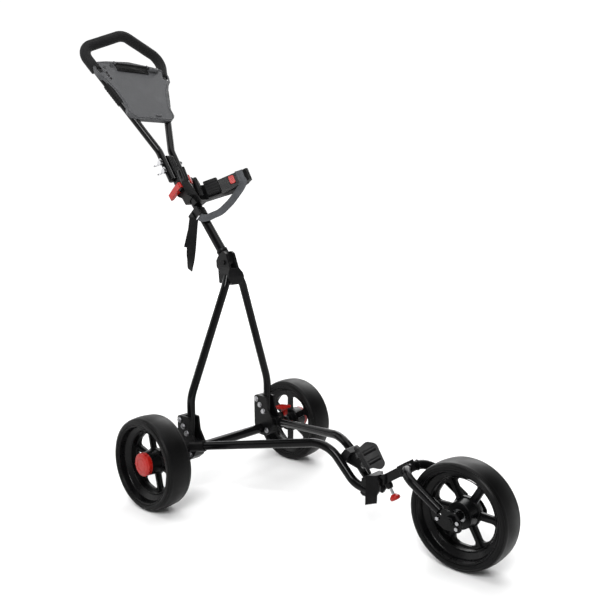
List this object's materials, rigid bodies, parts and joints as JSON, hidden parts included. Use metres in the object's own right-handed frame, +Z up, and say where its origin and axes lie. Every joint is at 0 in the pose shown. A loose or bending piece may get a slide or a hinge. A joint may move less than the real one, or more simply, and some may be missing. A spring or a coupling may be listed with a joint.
{
  "type": "push golf trolley",
  "caption": "Folding push trolley for a golf bag: twin rear wheels, single front wheel in a fork, leaning shaft with bag cradles, and a looped handle with a console.",
  "frame": {"origin": "middle of the whole length and width, on the ground", "axes": "+X forward to the front wheel, +Y to the pusher's left, +Z up"},
  "size_m": [1.118, 0.496, 1.0618],
  "materials": {
    "satin_tube": "gloss black powder coat on aluminium tube",
    "rim_plastic": "black moulded plastic, fine grain",
    "tyre": "smooth solid rubber",
    "steel": "zinc-plated steel",
    "chrome": "bright plated",
    "black_plastic": "black glass-filled nylon",
    "dark_plastic": "dark grey nylon",
    "red_plastic": "red moulded plastic",
    "grip_foam": "closed-cell foam grip",
    "soft_rubber": "soft ribbed rubber",
    "grey_webbing": "grey woven webbing",
    "black_webbing": "black woven webbing",
    "console_grey": "dark grey moulded plastic"
  },
  "bodies": {
    "frame": {"rear_cross_tube": "satin_tube", "rear_axle": "steel", "axle_bushes": "black_plastic", "side_tube_right": "satin_tube", "side_tube_left": "satin_tube", "hinge_bracket_right": "black_plastic", "hinge_bracket_left": "black_plastic", "frame_screws": "steel", "hinge_bolts": "steel", "front_joint": "black_plastic", "cradle_bracket": "dark_plastic", "lower_cradle": "dark_plastic", "lower_strap": "black_webbing", "brake_mount": "black_plastic"},
    "right_wheel": {"right_rim": "rim_plastic", "right_tyre": "tyre", "right_bearings": "steel", "right_hub_cap": "red_plastic"},
    "left_wheel": {"left_rim": "rim_plastic", "left_tyre": "tyre", "left_bearings": "steel", "left_hub_cap": "red_plastic"},
    "foot_brake": {"brake_lever": "red_plastic"},
    "fork": {"neck_tube": "satin_tube", "fork_crown": "dark_plastic", "fork_arm_right": "satin_tube", "fork_arm_left": "satin_tube", "fork_plates": "satin_tube", "fork_screws": "steel", "front_axle": "satin_tube", "plunger_boss": "black_plastic"},
    "front_wheel": {"front_rim": "rim_plastic", "front_tyre": "tyre", "front_bearings": "steel"},
    "plunger": {"release_pin": "steel", "release_knob": "red_plastic"},
    "uprights": {"upright_right": "satin_tube", "upright_left": "satin_tube", "knee_yoke": "dark_plastic", "knee_bolts": "satin_tube"},
    "knee_lever": {"knee_latch": "black_plastic"},
    "shaft": {"shaft_tube": "satin_tube", "knee_knuckle": "black_plastic", "upper_cradle": "black_plastic", "upper_cradle_pads": "soft_rubber", "bag_strap": "grey_webbing", "strap_buckle": "black_plastic", "strap_tail": "black_webbing", "latch_lugs": "black_plastic", "hinge_pin": "steel"},
    "button_right": {"strap_button_right": "red_plastic"},
    "button_left": {"strap_button_left": "red_plastic"},
    "hinge_lever": {"handle_latch": "red_plastic"},
    "handle": {"handle_stem": "black_plastic", "handle_tube": "satin_tube", "grip": "grip_foam", "handle_bolts": "steel", "side_pads": "soft_rubber", "console": "console_grey"},
    "card_clip": {"scorecard_clip": "black_plastic"}
  },
  "joints": [
    {"name": "right_wheel_spin", "type": "hinge", "parent": "frame", "child": "right_wheel", "pos_m": [-0.1688, -0.2185, 0.1], "axis": [0, 1, 0], "continuous": true},
    {"name": "left_wheel_spin", "type": "hinge", "parent": "frame", "child": "left_wheel", "pos_m": [-0.1688, 0.2185, 0.1], "axis": [0, 1, 0], "continuous": true},
    {"name": "front_wheel_spin", "type": "hinge", "parent": "fork", "child": "front_wheel", "pos_m": [0.4589, 0, 0.1], "axis": [0, 1, 0], "continuous": true},
    {"name": "brake_press", "type": "hinge", "parent": "frame", "child": "foot_brake", "pos_m": [-0.1608, 0.17, 0.121], "axis": [0, 1, 0], "range_deg": [0, 25]},
    {"name": "front_fold", "type": "hinge", "parent": "frame", "child": "fork", "pos_m": [0.2672, 0, 0.107], "axis": [0, 1, 0], "range_deg": [0, 90]},
    {"name": "release_pull", "type": "slide", "parent": "fork", "child": "plunger", "axis": [0.5664, 0, -0.8241], "range_m": [0, 0.0065], "stiffness_N_per_m": 600, "springref_m": -0.004},
    {"name": "upright_fold", "type": "hinge", "parent": "frame", "child": "uprights", "pos_m": [-0.1593, 0, 0.144], "axis": [0, 1, 0], "range_deg": [0, 78]},
    {"name": "knee_latch_lift", "type": "hinge", "parent": "uprights", "child": "knee_lever", "pos_m": [-0.1818, 0, 0.507], "axis": [0, 1, 0], "range_deg": [0, 40], "stiffness_Nm_per_rad": 0.05, "springref_deg": -17.19},
    {"name": "knee_fold", "type": "hinge", "parent": "uprights", "child": "shaft", "pos_m": [-0.1623, 0, 0.512], "axis": [0, 1, 0], "range_deg": [0, 50]},
    {"name": "strap_button_right_press", "type": "slide", "parent": "shaft", "child": "button_right", "axis": [-0.67, -0.6336, -0.3868], "range_m": [0, 0.0025], "stiffness_N_per_m": 500, "springref_m": -0.002},
    {"name": "strap_button_left_press", "type": "slide", "parent": "shaft", "child": "button_left", "axis": [-0.67, 0.6336, -0.3868], "range_m": [0, 0.0025], "stiffness_N_per_m": 500, "springref_m": -0.002},
    {"name": "handle_latch_open", "type": "hinge", "parent": "shaft", "child": "hinge_lever", "pos_m": [-0.30225, -0.0225, 0.68048], "axis": [-0.6494, 0, 0.7604], "range_deg": [0, 90]},
    {"name": "handle_fold", "type": "hinge", "parent": "shaft", "child": "handle", "pos_m": [-0.3173, 0, 0.67], "axis": [0, -1, 0], "range_deg": [0, 150]},
    {"name": "scorecard_clip_lift", "type": "hinge", "parent": "handle", "child": "card_clip", "pos_m": [-0.51142, 0, 0.97478], "axis": [0, -1, 0], "range_deg": [0, 40], "stiffness_Nm_per_rad": 0.05, "springref_deg": -17.19}
  ]
}
